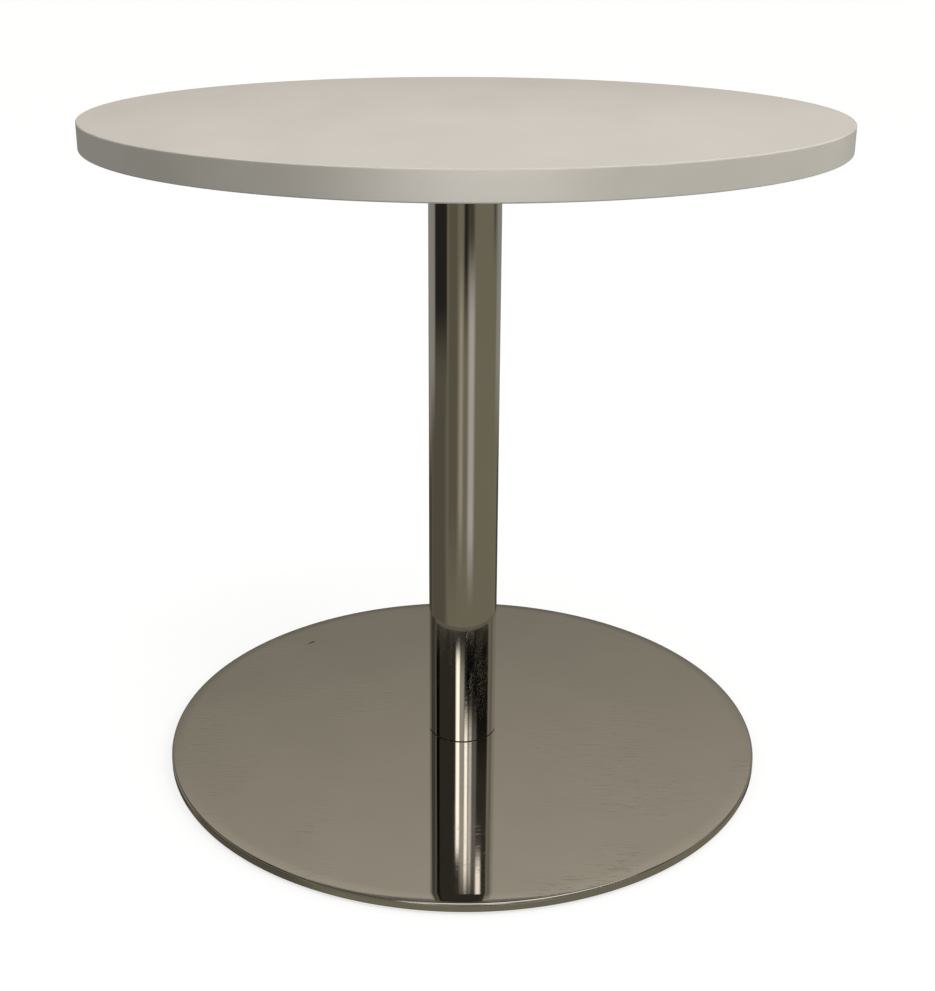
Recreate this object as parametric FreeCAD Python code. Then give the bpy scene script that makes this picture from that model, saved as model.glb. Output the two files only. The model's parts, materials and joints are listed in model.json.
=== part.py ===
import FreeCAD, Part
import math
import os

# Bistro table: a round laminated top on a polished stainless column and a flat, round, weighted base.
# Millimetres. +Z is up, and the origin is on the floor under the middle of the column.

Vec = FreeCAD.Vector
UP = Vec(0, 0, 1)
ORIGIN = Vec(0, 0, 0)

# ---------------------------------------------------------------- driving dimensions
overall_height = 750.0
floor_gap = 4.0               # from the floor to the base's rim, with the feet screwed in

top_diameter = 800.0
top_thickness = 28.0
edge_band_thickness = 2.0
edge_band_rounding = 1.5
laminate_thickness = 0.8

column_diameter = 80.0
column_wall = 2.0

base_diameter = 700.0
rim_height = 10.0
cover_sheet = 1.5
rim_corner_radius = 3.0
roll_off_radius = 150.0       # the flat top of the cover bends down along this arc ...
roll_off_angle = 5.0          # ... through this angle, before the tight corner of the rim
ballast_thickness = 8.0

plate_side = 320.0
plate_thickness = 5.0
plate_corner_radius = 24.0
plate_hole_reach = 138.0      # from the middle to the rows of holes for the tabletop's bolts

plug_thickness = 12.0
gasket_thickness = 0.8

foot_circle_radius = 285.0
foot_count = 4
pad_diameter = 32.0
pad_floor = 1.3               # nylon under the stud's flange
pad_bevel = 1.2
pad_easing = 0.6
flange_radius = 7.0
flange_thickness = 1.5
key_hole_radius = 3.2
foot_key = 5.0
foot_key_depth = 3.5

# ---------------------------------------------------------------- clearances
press_gap = 0.05              # round an insert or a plug that is pressed or welded in
thread_gap = 0.06             # round a threaded shank in its tapped hole
sink_gap = 0.15               # round a countersunk head in its countersink
flange_play = 0.05            # above and below a stud's flange in its pad
flange_side_play = 0.1
seat_gap = 0.5                # between parts that must not touch

# ---------------------------------------------------------------- fasteners (metric, coarse)
m6_radius = 3.0
m6_pitch = 1.0
m8_radius = 4.0
m8_pitch = 1.25
thread_depth_ratio = 0.61     # depth of an external thread over its pitch

insert_radius = 5.0
insert_length = 15.0
top_bolt_length = 20.0
top_bolt_head_radius = 5.25
top_bolt_head_height = 3.3
top_bolt_key = 4.0            # across flats of the hexagon socket
washer_radius = 6.25
washer_thickness = 1.6
top_bolt_hole_radius = 3.5

sunk_bolt_head_radius = 8.0   # countersunk at 90 degrees
sunk_bolt_key = 5.0
sunk_bolt_circle_radius = 25.0
sunk_bolt_count = 4
sunk_bolt_hole_radius = 4.5
head_bolt_length = 15.0
base_bolt_length = 20.0

# ---------------------------------------------------------------- levels, from the floor up
rim_bottom = floor_gap
cover_top = rim_bottom + rim_height
ballast_top = cover_top - cover_sheet
ballast_bottom = ballast_top - ballast_thickness
tube_bottom = cover_top + gasket_thickness
top_level = overall_height
top_underside = top_level - top_thickness
plate_underside = top_underside - plate_thickness
tube_top = plate_underside

# ---------------------------------------------------------------- radii
top_radius = top_diameter / 2
board_radius = top_radius - edge_band_thickness
base_radius = base_diameter / 2
column_radius = column_diameter / 2
bore_radius = column_radius - column_wall
roll_off_width = (roll_off_radius - rim_corner_radius) * math.sin(math.radians(roll_off_angle))
flat_radius = base_radius - rim_corner_radius - roll_off_width


# ---------------------------------------------------------------- building blocks
def disc(radius, bottom, top, x=0.0, y=0.0):
    return Part.makeCylinder(radius, top - bottom, Vec(x, y, bottom), UP)


def ring(outer, inner, bottom, top):
    return disc(outer, bottom, top).cut(disc(inner, bottom, top))


def on_circle(radius, count, first_angle=45.0):
    """Evenly spaced points on a circle round the column."""
    angles = [math.radians(first_angle + 360.0 * i / count) for i in range(count)]
    return [(radius * math.cos(a), radius * math.sin(a)) for a in angles]


def placed(shape, x, y, z):
    copy = shape.copy()
    copy.translate(Vec(x, y, z))
    return copy


def drill(solid, points, radius, bottom, top):
    """Cut one round hole at each of the points."""
    for x, y in points:
        solid = solid.cut(disc(radius, bottom, top, x, y))
    return solid


def revolve(edges):
    """Turn a closed outline in the XZ plane into a solid of revolution about Z."""
    face = Part.Face(Part.Wire(edges))
    return face.revolve(ORIGIN, UP, 360)


def outline(points):
    """Straight edges through (radius, height) points, closed."""
    corners = [Vec(r, 0, z) for r, z in points]
    return [Part.makeLine(a, b) for a, b in zip(corners, corners[1:] + corners[:1])]


def threaded_shank(radius, pitch, bottom, top):
    """A shank with its thread drawn as rings, crests at the radius, and a short plain stretch at each end."""
    root = radius - thread_depth_ratio * pitch
    turns = int((top - bottom) / pitch - 0.5)
    first = (bottom + top - turns * pitch) / 2
    points = [(0, bottom), (root, bottom), (root, first)]
    for turn in range(turns):
        points.append((radius, first + (turn + 0.5) * pitch))
        points.append((root, first + (turn + 1) * pitch))
    points += [(root, top), (0, top)]
    return revolve(outline(points))


def key_socket(across_flats, bottom, top):
    """The hexagonal hole for a key, as a solid to cut away."""
    corner = across_flats / 2 / math.cos(math.radians(30))
    points = [Vec(corner * math.cos(math.radians(60 * i)), corner * math.sin(math.radians(60 * i)), bottom)
              for i in range(7)]
    return Part.Face(Part.makePolygon(points)).extrude(Vec(0, 0, top - bottom))


def tapped_radius(shank_radius):
    return shank_radius + thread_gap


# ---------------------------------------------------------------- tabletop
top_bolt_points = [(x * plate_hole_reach, y * plate_hole_reach)
                   for x in (-1, 0, 1) for y in (-1, 0, 1) if (x, y) != (0, 0)]


def tabletop_laminate():
    return disc(board_radius, top_level - laminate_thickness, top_level)


def tabletop_core():
    bottom = top_underside + laminate_thickness
    core = disc(board_radius, bottom, top_level - laminate_thickness)
    return drill(core, top_bolt_points, insert_radius, bottom, top_underside + insert_length + seat_gap)


def tabletop_backing_sheet():
    top = top_underside + laminate_thickness
    sheet = disc(board_radius, top_underside, top)
    return drill(sheet, top_bolt_points, insert_radius, top_underside, top)


def tabletop_edge_band():
    band = ring(top_radius, board_radius, top_underside, top_level)
    arrises = [edge for edge in band.Edges if abs(edge.BoundBox.XLength - top_diameter) < 1e-3
               and edge.BoundBox.ZLength < 1e-3]
    return band.makeFillet(edge_band_rounding, arrises)


def tabletop_inserts():
    bottom = top_underside
    insert = ring(insert_radius - press_gap, tapped_radius(m6_radius), bottom, bottom + insert_length)
    return Part.makeCompound([placed(insert, x, y, 0) for x, y in top_bolt_points])


# ---------------------------------------------------------------- mounting plate and its fasteners
sunk_bolt_points = on_circle(sunk_bolt_circle_radius, sunk_bolt_count)


def countersink(bottom, top, wide_end):
    """A clearance hole with a 90 degree countersink at its top or bottom face, as a solid to cut away."""
    depth = sunk_bolt_head_radius - sunk_bolt_hole_radius
    hole = disc(sunk_bolt_hole_radius, bottom, top)
    if wide_end == "top":
        cone = Part.makeCone(sunk_bolt_hole_radius, sunk_bolt_head_radius, depth, Vec(0, 0, top - depth), UP)
    else:
        cone = Part.makeCone(sunk_bolt_head_radius, sunk_bolt_hole_radius, depth, Vec(0, 0, bottom), UP)
    return hole.fuse(cone)


def mounting_plate():
    half = plate_side / 2
    plate = Part.makeBox(plate_side, plate_side, plate_thickness, Vec(-half, -half, plate_underside))
    corners = [edge for edge in plate.Edges if edge.BoundBox.ZLength > plate_thickness / 2]
    plate = plate.makeFillet(plate_corner_radius, corners)
    plate = drill(plate, top_bolt_points, top_bolt_hole_radius, plate_underside, top_underside)
    sink = countersink(plate_underside, top_underside, "top")
    for x, y in sunk_bolt_points:
        plate = plate.cut(placed(sink, x, y, 0))
    return plate


def mounting_washers():
    washer = ring(washer_radius, m6_radius + 0.2, plate_underside - washer_thickness, plate_underside)
    return Part.makeCompound([placed(washer, x, y, 0) for x, y in top_bolt_points])


def button_head(radius, height, seat):
    """A domed head hanging from its seat: a slice of a ball, flat over half its width."""
    rise = (0.75 * radius ** 2 - height ** 2) / (2 * height)
    ball = Part.makeSphere(math.hypot(radius, rise), Vec(0, 0, seat + rise))
    return ball.common(disc(2 * radius, seat - height, seat))


def mounting_bolts():
    """Button heads below the plate, shanks up into the inserts."""
    seat = plate_underside - washer_thickness
    crown = seat - top_bolt_head_height
    head = button_head(top_bolt_head_radius, top_bolt_head_height, seat)
    head = head.cut(key_socket(top_bolt_key, crown, seat - top_bolt_head_height / 3))
    bolt = head.fuse(threaded_shank(m6_radius, m6_pitch, seat, seat + top_bolt_length))
    return Part.makeCompound([placed(bolt, x, y, 0) for x, y in top_bolt_points])


def sunk_bolt(length):
    """A countersunk bolt standing on its head at height 0, pointing up."""
    head_height = sunk_bolt_head_radius - m8_radius
    head = Part.makeCone(sunk_bolt_head_radius - sink_gap, m8_radius - sink_gap, head_height, ORIGIN, UP)
    head = head.cut(key_socket(sunk_bolt_key, 0, head_height * 0.7))
    return head.fuse(threaded_shank(m8_radius, m8_pitch, head_height, length))


def column_head_bolts():
    bolt = sunk_bolt(head_bolt_length)
    bolt.rotate(ORIGIN, Vec(1, 0, 0), 180)
    return Part.makeCompound([placed(bolt, x, y, top_underside) for x, y in sunk_bolt_points])


def base_bolts():
    bolt = sunk_bolt(base_bolt_length)
    return Part.makeCompound([placed(bolt, x, y, ballast_bottom) for x, y in sunk_bolt_points])


# ---------------------------------------------------------------- column
def column_tube():
    return ring(column_radius, bore_radius, tube_bottom, tube_top)


def column_plug(bottom):
    plug = disc(bore_radius - press_gap, bottom, bottom + plug_thickness)
    return drill(plug, sunk_bolt_points, tapped_radius(m8_radius), bottom, bottom + plug_thickness)


def column_head_plug():
    return column_plug(tube_top - plug_thickness)


def column_foot_plug():
    return column_plug(tube_bottom)


def column_foot_gasket():
    inset = 0.4               # so that the seam reads as a thin dark line
    inner = sunk_bolt_circle_radius + sunk_bolt_hole_radius + seat_gap
    return ring(column_radius - inset, inner, cover_top, tube_bottom)


# ---------------------------------------------------------------- base
foot_points = on_circle(foot_circle_radius, foot_count)


def cover_profile(inset):
    """The cover's section from its axis to its rim, at a depth below its outer surface.

    It is flat, then bends down along the roll-off arc, then turns the tight corner into the rim.
    The arcs are tangent to each other, to the flat and to the rim.
    """
    top = cover_top - inset
    turn = math.radians(roll_off_angle)
    centre_far = (flat_radius, cover_top - roll_off_radius)
    centre_near = (base_radius - rim_corner_radius,
                   centre_far[1] + (roll_off_radius - rim_corner_radius) * math.cos(turn))

    def on_arc(centre, radius, angle):
        return Vec(centre[0] + radius * math.sin(angle), 0, centre[1] + radius * math.cos(angle))

    far = roll_off_radius - inset
    near = rim_corner_radius - inset
    quarter = math.pi / 2
    flat = Part.makeLine(Vec(0, 0, top), Vec(flat_radius, 0, top))
    roll_off = Part.Arc(on_arc(centre_far, far, 0),
                        on_arc(centre_far, far, turn / 2),
                        on_arc(centre_far, far, turn)).toShape()
    corner = Part.Arc(on_arc(centre_near, near, turn),
                      on_arc(centre_near, near, (turn + quarter) / 2),
                      on_arc(centre_near, near, quarter)).toShape()
    rim_end = Vec(base_radius - inset, 0, rim_bottom)
    rim = Part.makeLine(on_arc(centre_near, near, quarter), rim_end)
    return [flat, roll_off, corner, rim], rim_end


def base_cover():
    outer, outer_end = cover_profile(0)
    inner, inner_end = cover_profile(cover_sheet)
    closing = [Part.makeLine(outer_end, inner_end),
               Part.makeLine(Vec(0, 0, ballast_top), Vec(0, 0, cover_top))]
    edges = Part.__sortEdges__(outer + inner + closing)
    cover = revolve(edges)
    return drill(cover, sunk_bolt_points, sunk_bolt_hole_radius, ballast_top, cover_top)


def base_ballast():
    chamfer = 1.0
    edge = flat_radius - seat_gap
    ballast = revolve(outline([(0, ballast_bottom), (edge - chamfer, ballast_bottom),
                               (edge, ballast_bottom + chamfer), (edge, ballast_top), (0, ballast_top)]))
    sink = countersink(ballast_bottom, ballast_top, "bottom")
    for x, y in sunk_bolt_points:
        ballast = ballast.cut(placed(sink, x, y, 0))
    return drill(ballast, foot_points, tapped_radius(m8_radius), ballast_bottom, ballast_top)


# ---------------------------------------------------------------- levelling feet
def foot_pad():
    """A nylon disc, bevelled below and eased above, with a pocket that holds the stud's flange."""
    radius = pad_diameter / 2
    pad = revolve(outline([(0, 0), (radius - pad_bevel, 0), (radius, pad_bevel),
                           (radius, floor_gap - pad_easing), (radius - pad_easing, floor_gap), (0, floor_gap)]))
    pocket_top = pad_floor + flange_thickness + 2 * flange_play
    pad = pad.cut(disc(flange_radius + flange_side_play, pad_floor, pocket_top))
    pad = pad.cut(disc(tapped_radius(m8_radius), pocket_top, floor_gap))
    return pad.cut(disc(key_hole_radius, 0, pad_floor))


def foot_stud():
    """A flanged stud, with a hexagon socket in its lower end for the key."""
    flange_bottom = pad_floor + flange_play
    flange_top = flange_bottom + flange_thickness
    stud = disc(flange_radius, flange_bottom, flange_top)
    stud = stud.fuse(threaded_shank(m8_radius, m8_pitch, flange_top, ballast_top - seat_gap))
    return stud.cut(key_socket(foot_key, flange_bottom, flange_bottom + foot_key_depth))


# ---------------------------------------------------------------- write one file per piece
pieces = {
    "tabletop_laminate": tabletop_laminate(),
    "tabletop_core": tabletop_core(),
    "tabletop_backing_sheet": tabletop_backing_sheet(),
    "tabletop_edge_band": tabletop_edge_band(),
    "tabletop_inserts": tabletop_inserts(),
    "mounting_plate": mounting_plate(),
    "mounting_washers": mounting_washers(),
    "mounting_bolts": mounting_bolts(),
    "column_head_bolts": column_head_bolts(),
    "column_head_plug": column_head_plug(),
    "column_tube": column_tube(),
    "column_foot_plug": column_foot_plug(),
    "column_foot_gasket": column_foot_gasket(),
    "base_cover": base_cover(),
    "base_ballast": base_ballast(),
    "base_bolts": base_bolts(),
}
for number, (x, y) in enumerate(foot_points, start=1):
    pieces["foot_%d_pad" % number] = placed(foot_pad(), x, y, 0)
    pieces["foot_%d_stud" % number] = placed(foot_stud(), x, y, 0)

os.makedirs("parts", exist_ok=True)
for name, shape in pieces.items():
    box = shape.BoundBox
    print("%-24s solids %d valid %s volume %.1f z %.2f to %.2f" % (
        name, len(shape.Solids), shape.isValid(), shape.Volume, box.ZMin, box.ZMax))
    shape.exportStep("parts/%s.step" % name)
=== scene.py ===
import json
import math

import bmesh
import bpy
from mathutils import Matrix, Vector


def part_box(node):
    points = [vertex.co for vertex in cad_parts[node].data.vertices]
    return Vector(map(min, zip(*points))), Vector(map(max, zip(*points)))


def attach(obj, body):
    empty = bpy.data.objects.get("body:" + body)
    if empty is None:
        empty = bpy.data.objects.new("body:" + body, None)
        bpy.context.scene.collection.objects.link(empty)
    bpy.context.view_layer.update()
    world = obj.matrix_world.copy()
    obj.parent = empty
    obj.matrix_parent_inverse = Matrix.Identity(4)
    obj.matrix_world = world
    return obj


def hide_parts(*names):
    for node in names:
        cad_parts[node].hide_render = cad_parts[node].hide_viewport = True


# The looks of the bistro table. The frame gives every size and place; lengths are in metres.

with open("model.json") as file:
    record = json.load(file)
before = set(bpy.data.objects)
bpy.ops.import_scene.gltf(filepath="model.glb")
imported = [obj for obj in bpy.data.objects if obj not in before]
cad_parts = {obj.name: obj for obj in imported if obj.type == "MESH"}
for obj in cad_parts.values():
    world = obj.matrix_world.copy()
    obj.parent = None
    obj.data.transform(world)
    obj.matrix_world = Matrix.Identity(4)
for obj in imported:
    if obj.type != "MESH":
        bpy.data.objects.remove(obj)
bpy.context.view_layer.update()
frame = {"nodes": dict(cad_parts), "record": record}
nodes_by_name = frame["nodes"]

# ---------------------------------------------------------------- sizes taken from the frame
MILLIMETRE = 0.001

top_low, top_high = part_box("tabletop_edge_band")
laminate_low, laminate_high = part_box("tabletop_laminate")
backing_low, backing_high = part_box("tabletop_backing_sheet")
tube_low, tube_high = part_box("column_tube")
plug_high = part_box("column_foot_plug")[1]
gasket_low, gasket_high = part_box("column_foot_gasket")
cover_low, cover_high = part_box("base_cover")
ballast_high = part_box("base_ballast")[1]

top_radius = top_high.x
board_radius = laminate_high.x
tube_radius = tube_high.x
tube_bore = plug_high.x
gasket_radius = gasket_high.x
base_radius = cover_high.x
cover_sheet = cover_high.z - ballast_high.z
cover_top = cover_high.z
rim_bottom = cover_low.z

EDGE_ROUNDING = 1.5 * MILLIMETRE      # the edge band's arrises
SEAM_BEVEL = 0.15 * MILLIMETRE        # the hairline where two pieces meet
TUBE_END_BEVEL = 0.25 * MILLIMETRE
RIM_CORNER = 3.0 * MILLIMETRE         # the tight bend at the edge of the base
ROLL_OFF = 150.0 * MILLIMETRE         # the slow bend just inside it ...
ROLL_OFF_TURN = math.radians(5.0)     # ... and how far it turns
GASKET_HOLE = 30.0 * MILLIMETRE

AROUND = 384                          # steps round a turned piece
ARRIS_STEPS = 10                      # steps round an arris of the edge band, and along the slow bend
RIM_STEPS = 16                        # steps round the tight bend
SHARP_ANGLE = math.radians(35.0)
QUARTER_TURN = math.pi / 2


# ---------------------------------------------------------------- turned pieces
def arc(centre, radius, start, end, steps):
    """Points on a circle in a section of (distance from the axis, height); angles run from straight up."""
    turns = [start + (end - start) * i / steps for i in range(steps + 1)]
    return [(centre[0] + radius * math.sin(turn), centre[1] + radius * math.cos(turn)) for turn in turns]


def turned_piece(name, section, material, replaced):
    """Turns a closed section of (distance from the axis, height) once round the column's axis."""
    shape = bmesh.new()
    turns = [2 * math.pi * i / AROUND for i in range(AROUND)]
    circle = [(math.cos(turn), math.sin(turn)) for turn in turns]
    rings = []
    for distance, height in section:
        if distance == 0:
            rings.append([shape.verts.new((0, 0, height))])
        else:
            rings.append([shape.verts.new((distance * x, distance * y, height)) for x, y in circle])
    for near, far in zip(rings, rings[1:] + rings[:1]):
        for i in range(AROUND):
            corners = [near[i % len(near)], near[(i + 1) % len(near)],
                       far[(i + 1) % len(far)], far[i % len(far)]]
            distinct = list(dict.fromkeys(corners))
            if len(distinct) > 2:
                shape.faces.new(distinct)
    bmesh.ops.recalc_face_normals(shape, faces=shape.faces)
    add_piece(name, shape, material, replaced)


def add_piece(name, shape, material, replaced):
    """Makes the built shape a smooth piece that rides on the table and stands for its CAD node."""
    mesh = bpy.data.meshes.new(name)
    shape.to_mesh(mesh)
    shape.free()
    mesh.shade_smooth()
    mesh.set_sharp_from_angle(angle=SHARP_ANGLE)
    piece = bpy.data.objects.new(name, mesh)
    bpy.context.scene.collection.objects.link(piece)
    mesh.materials.append(material)
    keep_flats = piece.modifiers.new("keep_flats", "WEIGHTED_NORMAL")
    keep_flats.keep_sharp = True
    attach(piece, "table")
    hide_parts(replaced)


# ---------------------------------------------------------------- node trees
class Nodes:
    """A short way to write a node tree: most methods add one node and return its output."""

    def __init__(self, tree, coordinates):
        self.tree = tree
        self.place = self.add("ShaderNodeTexCoord").outputs[coordinates]

    def add(self, kind, **settings):
        node = self.tree.nodes.new(kind)
        for setting, value in settings.items():
            setattr(node, setting, value)
        return node

    def join(self, source, socket):
        """Feeds a socket from another node's output, or sets it to a number or a colour."""
        if isinstance(source, (int, float)):
            socket.default_value = source
        elif isinstance(source, tuple):
            socket.default_value = (*source, 1)
        else:
            self.tree.links.new(source, socket)

    def axes(self):
        split = self.add("ShaderNodeSeparateXYZ")
        self.join(self.place, split.inputs["Vector"])
        return split.outputs["X"], split.outputs["Y"], split.outputs["Z"]

    def stretched(self, x, y, z, turn=0.0):
        mapping = self.add("ShaderNodeMapping")
        mapping.inputs["Scale"].default_value = (x, y, z)
        mapping.inputs["Rotation"].default_value = (0, 0, turn)
        self.join(self.place, mapping.inputs["Vector"])
        return mapping.outputs["Vector"]

    def noise(self, scale, detail=2.0, rough=0.5, place=None, twist=0.0):
        texture = self.add("ShaderNodeTexNoise")
        self.join(scale, texture.inputs["Scale"])
        self.join(detail, texture.inputs["Detail"])
        self.join(rough, texture.inputs["Roughness"])
        self.join(twist, texture.inputs["Distortion"])
        self.join(place or self.place, texture.inputs["Vector"])
        return texture.outputs["Fac"]

    def cells(self, scale, output="Distance", place=None):
        texture = self.add("ShaderNodeTexVoronoi", feature="F1")
        self.join(scale, texture.inputs["Scale"])
        self.join(place or self.place, texture.inputs["Vector"])
        return texture.outputs[output]

    def spread(self, value, low, high, new_low, new_high, smooth=False):
        node = self.add("ShaderNodeMapRange", interpolation_type="SMOOTHSTEP" if smooth else "LINEAR")
        self.join(value, node.inputs["Value"])
        self.join(low, node.inputs["From Min"])
        self.join(high, node.inputs["From Max"])
        self.join(new_low, node.inputs["To Min"])
        self.join(new_high, node.inputs["To Max"])
        return node.outputs["Result"]

    def maths(self, operation, *values):
        node = self.add("ShaderNodeMath", operation=operation)
        for value, socket in zip(values, node.inputs):
            self.join(value, socket)
        return node.outputs["Value"]

    def mixed(self, share, first, second, blend="MIX"):
        node = self.add("ShaderNodeMix", data_type="RGBA", blend_type=blend)
        first_colour, second_colour, mixed_colour = node.inputs[6], node.inputs[7], node.outputs[2]
        self.join(share, node.inputs["Factor"])
        self.join(first, first_colour)
        self.join(second, second_colour)
        return mixed_colour

    def bump(self, height, strength, distance):
        node = self.add("ShaderNodeBump")
        self.join(strength, node.inputs["Strength"])
        self.join(distance, node.inputs["Distance"])
        self.join(height, node.inputs["Height"])
        return node.outputs["Normal"]


class Material(Nodes):
    """The node tree of a new material, in the object's own coordinates."""

    def __init__(self, name):
        self.material = bpy.data.materials.new(name)
        self.material.use_nodes = True
        super().__init__(self.material.node_tree, "Object")
        self.shader = self.tree.nodes["Principled BSDF"]

    def finish(self, colour, roughness, normal, metallic=0.0):
        self.join(colour, self.shader.inputs["Base Color"])
        self.join(roughness, self.shader.inputs["Roughness"])
        self.join(normal, self.shader.inputs["Normal"])
        self.shader.inputs["Metallic"].default_value = metallic
        return self.material


# ---------------------------------------------------------------- materials
# Scales are in features per metre, bump distances in metres, and colours are linear.
BUTT_JOINT = 0.1 * MILLIMETRE         # half the hairline where the edge band's ends meet
SCUFF_PLACE = (-0.207, 0.218)         # a dark scuff on the cover, leaning to the right towards the back
SCUFF_LEAN = 0.9
SCUFF_CORE = 6.5 * MILLIMETRE
SCUFF_EDGE = 10.5 * MILLIMETRE
SCUFF_RAGGEDNESS = 8.0 * MILLIMETRE
CLEAN_MIDDLE = 0.05                   # the cover is little scratched this near the middle line ...
WORN_SIDES = 0.11                     # ... and fully scratched past here


def laminate(name, light, dark):
    """Satin melamine laminate: a fine pebbled skin, faint clouds of tone and a few dull smears."""
    n = Material(name)
    clouds = n.noise(3.5, detail=3, rough=0.55)
    pebbles = n.noise(900, detail=1)
    speckle = n.noise(2600, detail=0)
    tone = n.mixed(n.spread(clouds, 0.3, 0.7, 0, 1), dark, light)
    tone = n.mixed(n.spread(speckle, 0.35, 0.65, 0, 0.05), tone, (0.30, 0.27, 0.22))
    smears = n.noise(1, detail=4, rough=0.65, place=n.stretched(9, 3, 3, turn=0.5))
    roughness = n.spread(smears, 0.35, 0.7, 0.40, 0.50)
    return n.finish(tone, roughness, n.bump(pebbles, 0.10, 0.00008))


def edge_band_plastic():
    """Satin plastic band: drawn out lengthways, so its faint streaks run round the edge."""
    n = Material("edge_band_plastic")
    streaks = n.noise(1, detail=2, place=n.stretched(4, 4, 900))
    clouds = n.noise(14, detail=2)
    grain = n.noise(1400, detail=1)
    tone = n.mixed(n.spread(clouds, 0.3, 0.7, 0, 1), (0.590, 0.566, 0.512), (0.625, 0.600, 0.545))
    tone = n.mixed(n.spread(streaks, 0.4, 0.75, 0, 0.07), tone, (0.48, 0.44, 0.37))
    x, y, z = n.axes()
    joint = n.spread(n.maths("ABSOLUTE", x), BUTT_JOINT, 3 * BUTT_JOINT, 0.6, 0)
    at_the_back = n.maths("GREATER_THAN", y, 0)
    tone = n.mixed(n.maths("MULTIPLY", joint, at_the_back), tone, (0.20, 0.18, 0.15))
    height = n.maths("ADD", grain, n.maths("MULTIPLY", streaks, 1.5))
    return n.finish(tone, n.spread(clouds, 0.3, 0.7, 0.36, 0.46), n.bump(height, 0.10, 0.00008))


def polished_steel_tube():
    """Mirror polished tube: fine polishing lines along it and faint hazy patches."""
    n = Material("polished_steel_tube")
    lines = n.noise(1, detail=2, place=n.stretched(2600, 2600, 6))
    haze = n.noise(1, detail=3, rough=0.6, place=n.stretched(26, 26, 7))
    waves = n.noise(1, detail=1, place=n.stretched(22, 22, 5))
    tone = n.mixed(n.spread(haze, 0.3, 0.7, 0, 1), (0.625, 0.600, 0.555), (0.655, 0.630, 0.585))
    roughness = n.spread(haze, 0.35, 0.75, 0.02, 0.045)
    height = n.maths("ADD", n.maths("MULTIPLY", lines, 0.0015), n.maths("MULTIPLY", waves, 0.12))
    return n.finish(tone, roughness, n.bump(height, 0.6, 0.0004), metallic=1.0)


def polished_steel_cover():
    """Mirror polished sheet: slight waves, patches of fine scratches across it, and one dark scuff."""
    n = Material("polished_steel_cover")
    x, y, z = n.axes()
    sides = n.spread(n.maths("ABSOLUTE", x), CLEAN_MIDDLE, WORN_SIDES, 0.1, 1, smooth=True)
    patches = n.spread(n.noise(7.5, detail=2), 0.42, 0.62, 0, 1, smooth=True)
    worn = n.maths("MULTIPLY", patches, sides)
    scratches = n.noise(1, detail=3, rough=0.7, place=n.stretched(38, 420, 1, turn=0.06), twist=0.6)
    marks = n.maths("MULTIPLY", n.spread(scratches, 0.56, 0.68, 0, 1, smooth=True), worn)
    ripples = n.noise(1, detail=2, rough=0.6, place=n.stretched(65, 230, 1, turn=0.05), twist=0.4)
    ripples = n.maths("MULTIPLY", ripples, worn)
    fine = n.noise(1, detail=2, place=n.stretched(60, 1500, 1, turn=-0.05))
    waves = n.noise(1, detail=1, place=n.stretched(5, 9, 1))
    haze = n.noise(9, detail=3, rough=0.6)
    scuff = scuff_mask(n, x, y)

    tone = n.mixed(n.spread(haze, 0.3, 0.7, 0, 1), (0.620, 0.595, 0.550), (0.650, 0.625, 0.580))
    tone = n.mixed(n.maths("MULTIPLY", marks, 0.13), tone, (0.30, 0.27, 0.22))
    tone = n.mixed(scuff, tone, (0.10, 0.075, 0.05))
    roughness = n.maths("ADD", n.spread(haze, 0.35, 0.75, 0.03, 0.06), n.maths("MULTIPLY", marks, 0.12))
    roughness = n.maths("ADD", roughness, n.maths("MULTIPLY", scuff, 0.4))
    height = n.maths("MULTIPLY", marks, -0.17)
    for texture, share in ((fine, 0.003), (waves, 0.35), (ripples, 0.24)):
        height = n.maths("ADD", height, n.maths("MULTIPLY", texture, share))
    return n.finish(tone, roughness, n.bump(height, 0.5, 0.0006), metallic=1.0)


def scuff_mask(n, x, y):
    """A short leaning mark with a ragged edge: how strong it is at each place."""
    off_y = n.maths("SUBTRACT", y, SCUFF_PLACE[1])
    off_x = n.maths("SUBTRACT", x, SCUFF_PLACE[0])
    across = n.maths("ABSOLUTE", n.maths("SUBTRACT", off_x, n.maths("MULTIPLY", off_y, SCUFF_LEAN)))
    along = n.maths("ABSOLUTE", off_y)
    reach = n.maths("ADD", n.maths("MULTIPLY", across, 1.5), n.maths("MULTIPLY", along, 0.8))
    reach = n.maths("ADD", reach, n.maths("MULTIPLY", n.noise(150, detail=3), SCUFF_RAGGEDNESS))
    return n.spread(reach, SCUFF_CORE, SCUFF_EDGE, 0.85, 0, smooth=True)


def steel(name, light, dark, smoothest, roughest, grain):
    """Machined or plated steel: cloudy tone, a fine grain and a few rubbed places."""
    n = Material(name)
    clouds = n.noise(120, detail=3, rough=0.6)
    texture = n.noise(grain, detail=2)
    tone = n.mixed(n.spread(clouds, 0.3, 0.7, 0, 1), dark, light)
    roughness = n.spread(clouds, 0.3, 0.7, smoothest, roughest)
    return n.finish(tone, roughness, n.bump(texture, 0.15, 0.00006), metallic=1.0)


def powder_coat():
    """Black powder coat: a leathery, finely wrinkled skin with a few dusty places."""
    n = Material("black_powder_coat")
    wrinkles = n.maths("ADD", n.noise(750, detail=2), n.cells(520))
    dust = n.noise(16, detail=4, rough=0.65)
    tone = n.mixed(n.spread(dust, 0.35, 0.75, 0, 1), (0.018, 0.018, 0.019), (0.040, 0.039, 0.037))
    return n.finish(tone, n.spread(dust, 0.3, 0.7, 0.50, 0.66), n.bump(wrinkles, 0.45, 0.00018))


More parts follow.
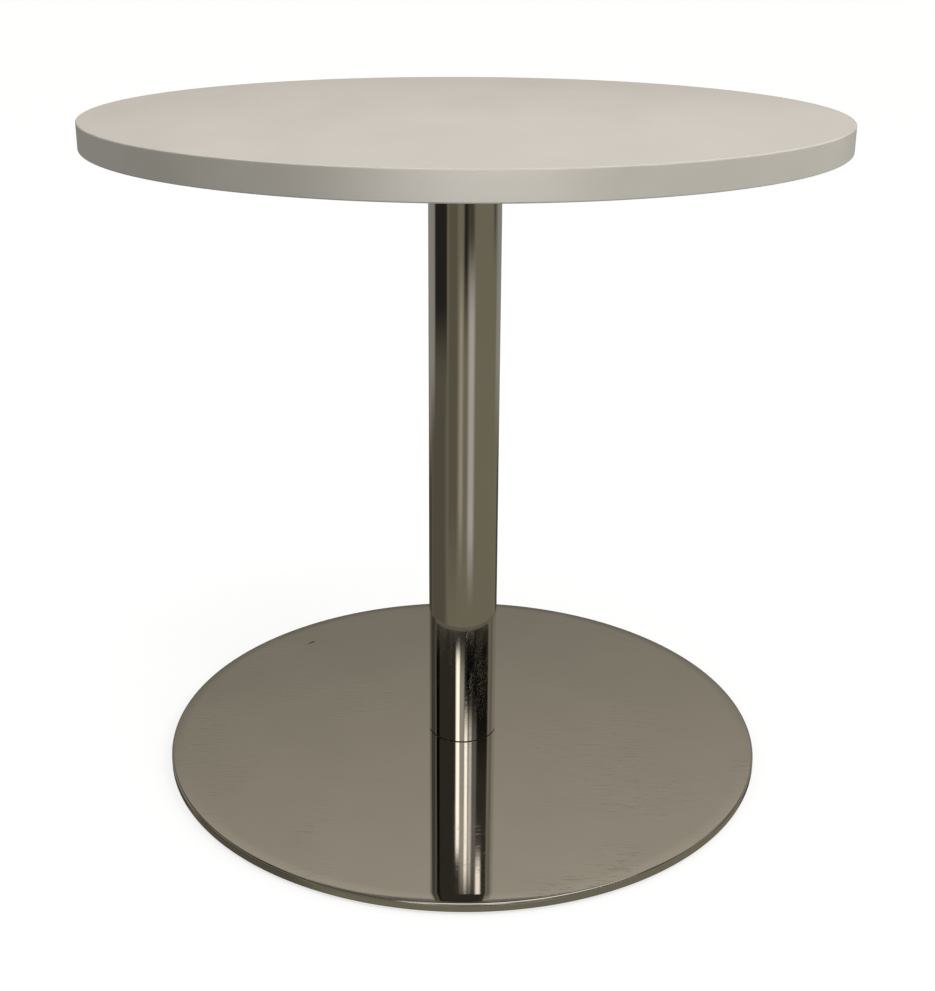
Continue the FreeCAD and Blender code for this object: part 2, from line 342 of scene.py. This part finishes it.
def ballast_paint():
    """Thick matt paint on flame-cut plate: orange peel, a little runny, with dusty low places."""
    n = Material("ballast_paint")
    peel = n.noise(230, detail=2)
    pits = n.spread(n.cells(90), 0.0, 0.12, 0, 1)
    dust = n.noise(9, detail=5, rough=0.7)
    tone = n.mixed(n.spread(dust, 0.35, 0.75, 0, 1), (0.022, 0.022, 0.023), (0.060, 0.057, 0.052))
    height = n.maths("ADD", peel, n.maths("MULTIPLY", pits, 0.4))
    return n.finish(tone, n.spread(dust, 0.3, 0.7, 0.55, 0.75), n.bump(height, 0.4, 0.0004))


def rubber():
    """Black rubber with a faint grey bloom."""
    n = Material("black_rubber")
    bloom = n.noise(60, detail=3)
    tone = n.mixed(n.spread(bloom, 0.3, 0.7, 0, 1), (0.012, 0.012, 0.012), (0.028, 0.027, 0.026))
    return n.finish(tone, n.spread(bloom, 0.3, 0.7, 0.7, 0.85), n.bump(n.noise(1800), 0.3, 0.0001))


def nylon():
    """Moulded nylon: slightly waxy, with turned marks and grey rub where it meets the floor."""
    n = Material("foot_nylon")
    rub = n.noise(220, detail=4, rough=0.7)
    tone = n.mixed(n.spread(rub, 0.4, 0.75, 0, 1), (0.030, 0.030, 0.031), (0.085, 0.082, 0.078))
    return n.finish(tone, n.spread(rub, 0.3, 0.7, 0.38, 0.55), n.bump(n.noise(1500), 0.2, 0.0001))


def particle_board():
    """Raw particle board: flakes of wood of many tones pressed flat."""
    n = Material("particle_board")
    flakes = n.cells(1, output="Color", place=n.stretched(260, 260, 700))
    small = n.cells(1, output="Color", place=n.stretched(700, 700, 1400))
    tone = n.mixed(0.35, (0.50, 0.36, 0.22), flakes, blend="SOFT_LIGHT")
    tone = n.mixed(0.25, tone, small, blend="SOFT_LIGHT")
    edges = n.cells(1, place=n.stretched(260, 260, 700))
    return n.finish(tone, n.spread(edges, 0, 1, 0.75, 0.95), n.bump(edges, 0.5, 0.0003))


# ---------------------------------------------------------------- the pieces that are built again
def tabletop_pieces():
    """The laminate, the sheet under the board and the edge band, with hairline bevels where they meet."""
    skin = laminate("top_laminate", light=(0.655, 0.618, 0.578), dark=(0.625, 0.588, 0.548))
    backing = laminate("backing_laminate", light=(0.66, 0.64, 0.59), dark=(0.62, 0.60, 0.55))
    face_radius = board_radius - SEAM_BEVEL
    turned_piece("top_surface",
                 [(0, laminate_low.z), (board_radius, laminate_low.z),
                  (board_radius, laminate_high.z - SEAM_BEVEL), (face_radius, laminate_high.z),
                  (0, laminate_high.z)],
                 skin, "tabletop_laminate")
    turned_piece("top_backing",
                 [(0, backing_low.z), (face_radius, backing_low.z),
                  (board_radius, backing_low.z + SEAM_BEVEL), (board_radius, backing_high.z),
                  (0, backing_high.z)],
                 backing, "tabletop_backing_sheet")
    turned_piece("top_edge_band", edge_band_section(),
                 edge_band_plastic(), "tabletop_edge_band")


def edge_band_section():
    """The band's section: two small bevels towards the board, and two rounded arrises outside."""
    middle = top_radius - EDGE_ROUNDING
    upper_centre = (middle, top_high.z - EDGE_ROUNDING)
    lower_centre = (middle, top_low.z + EDGE_ROUNDING)
    bevel_end = board_radius + SEAM_BEVEL
    bevels = [(board_radius, top_low.z + SEAM_BEVEL), (board_radius, top_high.z - SEAM_BEVEL),
              (bevel_end, top_high.z)]
    upper = arc(upper_centre, EDGE_ROUNDING, 0, QUARTER_TURN, ARRIS_STEPS)
    lower = arc(lower_centre, EDGE_ROUNDING, QUARTER_TURN, 2 * QUARTER_TURN, ARRIS_STEPS)
    return bevels + upper + lower + [(bevel_end, top_low.z)]


def column_pieces():
    """The tube, with its ends taken off a little, and the gasket under it."""
    bevel = TUBE_END_BEVEL
    low, high = tube_low.z, tube_high.z
    turned_piece("column",
                 [(tube_bore, low), (tube_radius - bevel, low), (tube_radius, low + bevel),
                  (tube_radius, high - bevel), (tube_radius - bevel, high), (tube_bore, high)],
                 polished_steel_tube(), "column_tube")
    turned_piece("column_gasket",
                 [(GASKET_HOLE, gasket_low.z), (gasket_radius, gasket_low.z),
                  (gasket_radius, gasket_high.z), (GASKET_HOLE, gasket_high.z)],
                 rubber(), "column_foot_gasket")


def cover_section(inset):
    """The cover's section from the axis to the rim, at a depth below its outer face."""
    between_centres = ROLL_OFF - RIM_CORNER
    corner_distance = base_radius - RIM_CORNER
    slow_distance = corner_distance - between_centres * math.sin(ROLL_OFF_TURN)
    slow_height = cover_top - ROLL_OFF
    corner_height = slow_height + between_centres * math.cos(ROLL_OFF_TURN)
    slow_centre = (slow_distance, slow_height)
    corner_centre = (corner_distance, corner_height)
    slow = arc(slow_centre, ROLL_OFF - inset, 0, ROLL_OFF_TURN, ARRIS_STEPS)
    corner = arc(corner_centre, RIM_CORNER - inset, ROLL_OFF_TURN, QUARTER_TURN, RIM_STEPS)
    return [(0, cover_top - inset)] + slow + corner[1:] + [(base_radius - inset, rim_bottom)]


def base_pieces():
    """The cover, one sheet thick. Its bolt holes are hidden under the column, so it has none here."""
    turned_piece("base_cover_sheet",
                 cover_section(0) + cover_section(cover_sheet)[::-1],
                 polished_steel_cover(), "base_cover")


def dress_cad_nodes():
    """Gives the CAD nodes that stay visible a material for their slot."""
    zinc = steel("zinc_steel", light=(0.66, 0.67, 0.68), dark=(0.52, 0.53, 0.52),
                 smoothest=0.22, roughest=0.36, grain=1500)
    dark = steel("dark_steel", light=(0.075, 0.075, 0.078), dark=(0.045, 0.044, 0.043),
                 smoothest=0.38, roughest=0.52, grain=1200)
    plain = steel("plain_steel", light=(0.50, 0.49, 0.47), dark=(0.38, 0.37, 0.35),
                  smoothest=0.30, roughest=0.48, grain=900)
    by_slot = {"zinc_steel": zinc, "dark_steel": dark, "plain_steel": plain, "board": particle_board(),
               "black_powder_coat": powder_coat(), "black_paint": ballast_paint(), "foot_nylon": nylon()}
    for subpart in frame["record"]["subparts"]:
        material = by_slot.get(subpart["material_slot"])
        if material is not None:
            mesh = nodes_by_name[subpart["node"]].data
            mesh.materials.clear()
            mesh.materials.append(material)


# ---------------------------------------------------------------- studio
STEEL_SHADE = 0.62                    # how much of the studio the polished steel gives back
BACK_WALL_DARK = 0.37                 # how bright the wall round the table is low down ...
BACK_WALL_PALE = 0.575                # ... and high up
BACK_WALL_LOW = 16.0                  # where it starts to get paler, in degrees above the horizon ...
BACK_WALL_HIGH = 43.0                 # ... and where it ends
BACK_WALL_SLANT = 8.0                 # how many degrees sooner that is on the right
LEFT_GLOW = (0.08, 0.077, 0.070)      # the soft light from each side, from above and off the floor
RIGHT_GLOW = (0.26, 0.252, 0.235)
HIGH_GLOW = (0.62, 0.62, 0.61)
FLOOR_GLOW = (0.85, 0.84, 0.81)
WHITE = (1.0, 1.0, 1.0)
WARM = (1.0, 0.925, 0.78)
OLIVE = (1.0, 0.915, 0.67)
PLAIN = (1.0, 0.96, 0.90)

# What polished steel mirrors: a plain studio of soft panels, dark flags and strip lights, in directions
# from the table. Azimuth 0 is towards the camera and + is to its right, elevation is above the horizon,
# both in degrees. The brightness is the one seen in the steel. Each row is laid over the ones before it:
# (azimuth, half width, lowest, highest, side softness, end softness, brightness, tint)
STUDIO = (
    (0, 181, -90, -2, 1, 5, 0.40, OLIVE),           # floor, shaded on the left and dark far behind
    (-95, 36, -90, -16.5, 12, 2, 0.295, OLIVE),
    (-157, 26, -90, -19.5, 6, 2, 0.23, OLIVE),
    (162, 20, -90, -19.5, 6, 2, 0.23, OLIVE),
    (-132, 21, -17.5, 6, 5, 2, 0.48, PLAIN),        # pale panels behind, left and right
    (142, 20, -17.5, 6, 5, 2, 0.48, PLAIN),
    (-82, 25, -16, 4, 4, 2.5, 0.13, WARM),          # low dark flags: left, in front and right
    (-37, 15, -24, 3, 5, 3, 0.32, OLIVE),
    (16, 14, -12, 3, 6, 1.5, 0.24, OLIVE),
    (4, 6, -14, 3, 5, 2.5, 0.13, WARM),
    (108, 6, -11, 6, 4, 2, 0.24, WARM),
    (-10, 6, -23, -13, 5, 2, 0.54, OLIVE),          # low strip lights in front
    (23, 9.5, -24, -13, 6, 2, 0.61, PLAIN),
    (0, 100, 3, 26.3, 6, 0.4, 0.42, WARM),          # front wall, pale below and dark above
    (0, 100, 26.3, 50, 6, 0.4, 0.20, WARM),
    (55, 44, 26.4, 31, 8, 2, 0.03, WARM),           # high flags on the right and on the left
    (-95, 8, 26.4, 60, 3, 1, 0.03, WARM),
    (117, 11, 20, 40, 5, 3, 0.43, WARM),            # high pale panels beside them
    (-124, 15, 20, 60, 7, 3, 0.26, WARM),
    (-15.5, 6.5, 27.4, 35, 4, 0.4, 1.25, PLAIN),    # high strip lights in front, some of them dimmed
    (-1, 7, 27.8, 36, 4, 1, 0.66, PLAIN),
    (13, 5.5, 30, 36, 3, 0.8, 1.20, PLAIN),
    (28, 6, 30, 36, 4, 0.8, 0.85, PLAIN),
    (43, 8, 30, 36, 5, 0.8, 0.42, PLAIN),
    (62, 10, 35.2, 36.9, 4, 0.4, 1.10, PLAIN),
    (0, 110, 51, 80, 12, 2, 0.31, WARM),            # ceiling, and the soft box on it
    (36, 60, 53, 87, 12, 2, 0.86, PLAIN),
)


def linear(value):
    """The linear light of a brightness between 0 and 1 as a screen shows it."""
    return ((value + 0.055) / 1.055) ** 2.4


def shade(brightness, tint):
    """The light that steel gives back as this brightness."""
    return tuple(linear(brightness) / STEEL_SHADE * part for part in tint)


def studio_world():
    """A plain studio for gloss to mirror; the camera sees white in it, and other rays a soft glow.

    Directions have a length of 1, so x, y and z run from -1 to 1.
    """
    world = bpy.data.worlds.new("studio")
    world.use_nodes = True
    world.cycles.sampling_method = "NONE"
    bpy.context.scene.world = world
    world.node_tree.nodes.clear()
    n = Nodes(world.node_tree, "Generated")
    x, y, z = n.axes()
    studio = mirrored_studio(n, x, y, z)

    low_glow = n.mixed(n.spread(x, -0.8, 0.8, 0, 1, smooth=True), LEFT_GLOW, RIGHT_GLOW)
    glow = n.mixed(n.spread(z, -0.2, 0.5, 0, 1, smooth=True), low_glow, HIGH_GLOW)
    glow = n.mixed(n.spread(z, -0.95, -0.6, 1, 0, smooth=True), glow, FLOOR_GLOW)
    ray = n.add("ShaderNodeLightPath")
    colour = n.mixed(ray.outputs["Is Glossy Ray"], glow, studio)
    colour = n.mixed(ray.outputs["Is Camera Ray"], colour, WHITE)
    background = n.add("ShaderNodeBackground")
    n.join(colour, background.inputs["Color"])
    n.join(background.outputs["Background"], n.add("ShaderNodeOutputWorld").inputs["Surface"])


def mirrored_studio(n, x, y, z):
    """The studio's colour in each direction (x, y, z): the wall, with the rows of STUDIO over it."""
    azimuth = n.maths("DEGREES", n.maths("ARCTAN2", x, n.maths("MULTIPLY", y, -1.0)))
    elevation = n.maths("DEGREES", n.maths("ARCSINE", z))

    def near(value, middle, reach, softness):
        distance = n.maths("ABSOLUTE", n.maths("SUBTRACT", value, middle))
        return n.spread(distance, reach - softness, reach + softness, 1, 0, smooth=True)

    lifted = n.maths("ADD", elevation, n.maths("MULTIPLY", x, BACK_WALL_SLANT))
    colour = n.mixed(n.spread(lifted, BACK_WALL_LOW, BACK_WALL_HIGH, 0, 1, smooth=True),
                     shade(BACK_WALL_DARK, WARM), shade(BACK_WALL_PALE, WARM))
    for centre, half_width, lowest, highest, side, end, brightness, tint in STUDIO:
        share = n.maths("MULTIPLY", near(azimuth, centre, half_width, side),
                        near(elevation, (lowest + highest) / 2, (highest - lowest) / 2, end))
        colour = n.mixed(share, colour, shade(brightness, tint))
    return colour


FLOOR_RADIUS = 30.0
FLOOR_SIDES = 64
FLOOR_GREY = (0.5, 0.5, 0.5)
FLOOR_LIGHT = 0.70                    # the floor's own light, which makes it pale


def floor():
    """A plain pale floor, clear from below, that the steel doesn't mirror."""
    shape = bmesh.new()
    bmesh.ops.create_circle(shape, cap_ends=True, radius=FLOOR_RADIUS, segments=FLOOR_SIDES)
    mesh = bpy.data.meshes.new("floor")
    shape.to_mesh(mesh)
    shape.free()
    piece = bpy.data.objects.new("floor", mesh)
    bpy.context.scene.collection.objects.link(piece)
    mesh.materials.append(floor_material())
    piece.visible_glossy = False
    piece.visible_diffuse = False


def floor_material():
    """Pale, matt and faintly glowing from above, and clear from below."""
    n = Material("floor_white")
    n.join(FLOOR_GREY, n.shader.inputs["Base Color"])
    n.join(0.9, n.shader.inputs["Roughness"])
    n.join(0.0, n.shader.inputs["Specular IOR Level"])
    n.join(WHITE, n.shader.inputs["Emission Color"])
    n.join(FLOOR_LIGHT, n.shader.inputs["Emission Strength"])
    choice = n.add("ShaderNodeMixShader")
    n.join(n.add("ShaderNodeNewGeometry").outputs["Backfacing"], choice.inputs["Fac"])
    n.join(n.shader.outputs["BSDF"], choice.inputs[1])
    n.join(n.add("ShaderNodeBsdfTransparent").outputs["BSDF"], choice.inputs[2])
    n.join(choice.outputs["Shader"], n.tree.nodes["Material Output"].inputs["Surface"])
    return n.material


# Lamps aim at the middle of the tabletop. Power is in watts.
LAMP_TARGET = Vector((0.0, 0.0, top_high.z))
LAMP_COLOUR = (1.0, 0.97, 0.92)
KEY_PLACE = (1.5, -1.5, 1.9)
KEY_SIDE = 1.2
KEY_POWER = 12
OVERHEAD_PLACE = (0.05, -0.25, top_high.z + 1.3)
OVERHEAD_SIDE = 0.9
OVERHEAD_POWER = 9.2
SHEEN_PLACE = (0.12, -2.7, 0.9)
SHEEN_WIDTH = 2.4
SHEEN_HEIGHT = 1.0
SHEEN_POWER = 80


def lamp(name, place, width, height, power):
    """A soft lamp that the camera doesn't see."""
    light = bpy.data.lights.new(name, "AREA")
    light.shape = "RECTANGLE"
    light.size = width
    light.size_y = height
    light.energy = power
    light.color = LAMP_COLOUR
    piece = bpy.data.objects.new(name, light)
    bpy.context.scene.collection.objects.link(piece)
    piece.location = place
    piece.rotation_euler = (LAMP_TARGET - Vector(place)).to_track_quat("-Z", "Y").to_euler()
    piece.visible_camera = False
    return piece


def lights():
    """A key and an overhead lamp that nothing mirrors, and one lamp for the edge band's sheen alone."""
    key = lamp("key", KEY_PLACE, KEY_SIDE, KEY_SIDE, KEY_POWER)
    overhead = lamp("overhead", OVERHEAD_PLACE, OVERHEAD_SIDE, OVERHEAD_SIDE, OVERHEAD_POWER)
    for soft_light in (key, overhead):
        soft_light.visible_glossy = False
    sheen = lamp("sheen", SHEEN_PLACE, SHEEN_WIDTH, SHEEN_HEIGHT, SHEEN_POWER)
    sheen.visible_diffuse = False
    receivers = bpy.data.collections.new("satin_edge")
    receivers.objects.link(bpy.data.objects["top_edge_band"])
    sheen.light_linking.receiver_collection = receivers


# ---------------------------------------------------------------- camera
CAMERA_PLACE = Vector((0.0, -1.5688, 0.9254))
CAMERA_SENSOR = 36                    # millimetres, as is the lens
CAMERA_LENS = 52.89
CAMERA_PITCH = math.radians(19.80)    # downwards
CAMERA_YAW = math.radians(-0.283)
CAMERA_ROLL = math.radians(-0.235)
CAMERA_SHIFT = (0.0106, -0.0369)


def camera():
    """The camera, with its axes worked out from its pitch, yaw and roll."""
    forward = Vector((math.sin(CAMERA_YAW) * math.cos(CAMERA_PITCH),
                      math.cos(CAMERA_YAW) * math.cos(CAMERA_PITCH),
                      -math.sin(CAMERA_PITCH)))
    level = Vector((math.cos(CAMERA_YAW), -math.sin(CAMERA_YAW), 0))
    down = forward.cross(level)
    across = level * math.cos(CAMERA_ROLL) + down * math.sin(CAMERA_ROLL)
    up = level * math.sin(CAMERA_ROLL) - down * math.cos(CAMERA_ROLL)
    data = bpy.data.cameras.new("camera")
    data.sensor_width = CAMERA_SENSOR
    data.lens = CAMERA_LENS
    data.shift_x, data.shift_y = CAMERA_SHIFT
    piece = bpy.data.objects.new("camera", data)
    bpy.context.scene.collection.objects.link(piece)
    aim = Matrix((across, up, -forward)).transposed().to_4x4()
    piece.matrix_world = Matrix.Translation(CAMERA_PLACE) @ aim
    bpy.context.scene.camera = piece


tabletop_pieces()
column_pieces()
base_pieces()
dress_cad_nodes()
studio_world()
floor()
lights()
camera()
bpy.context.scene.view_settings.view_transform = "Standard"
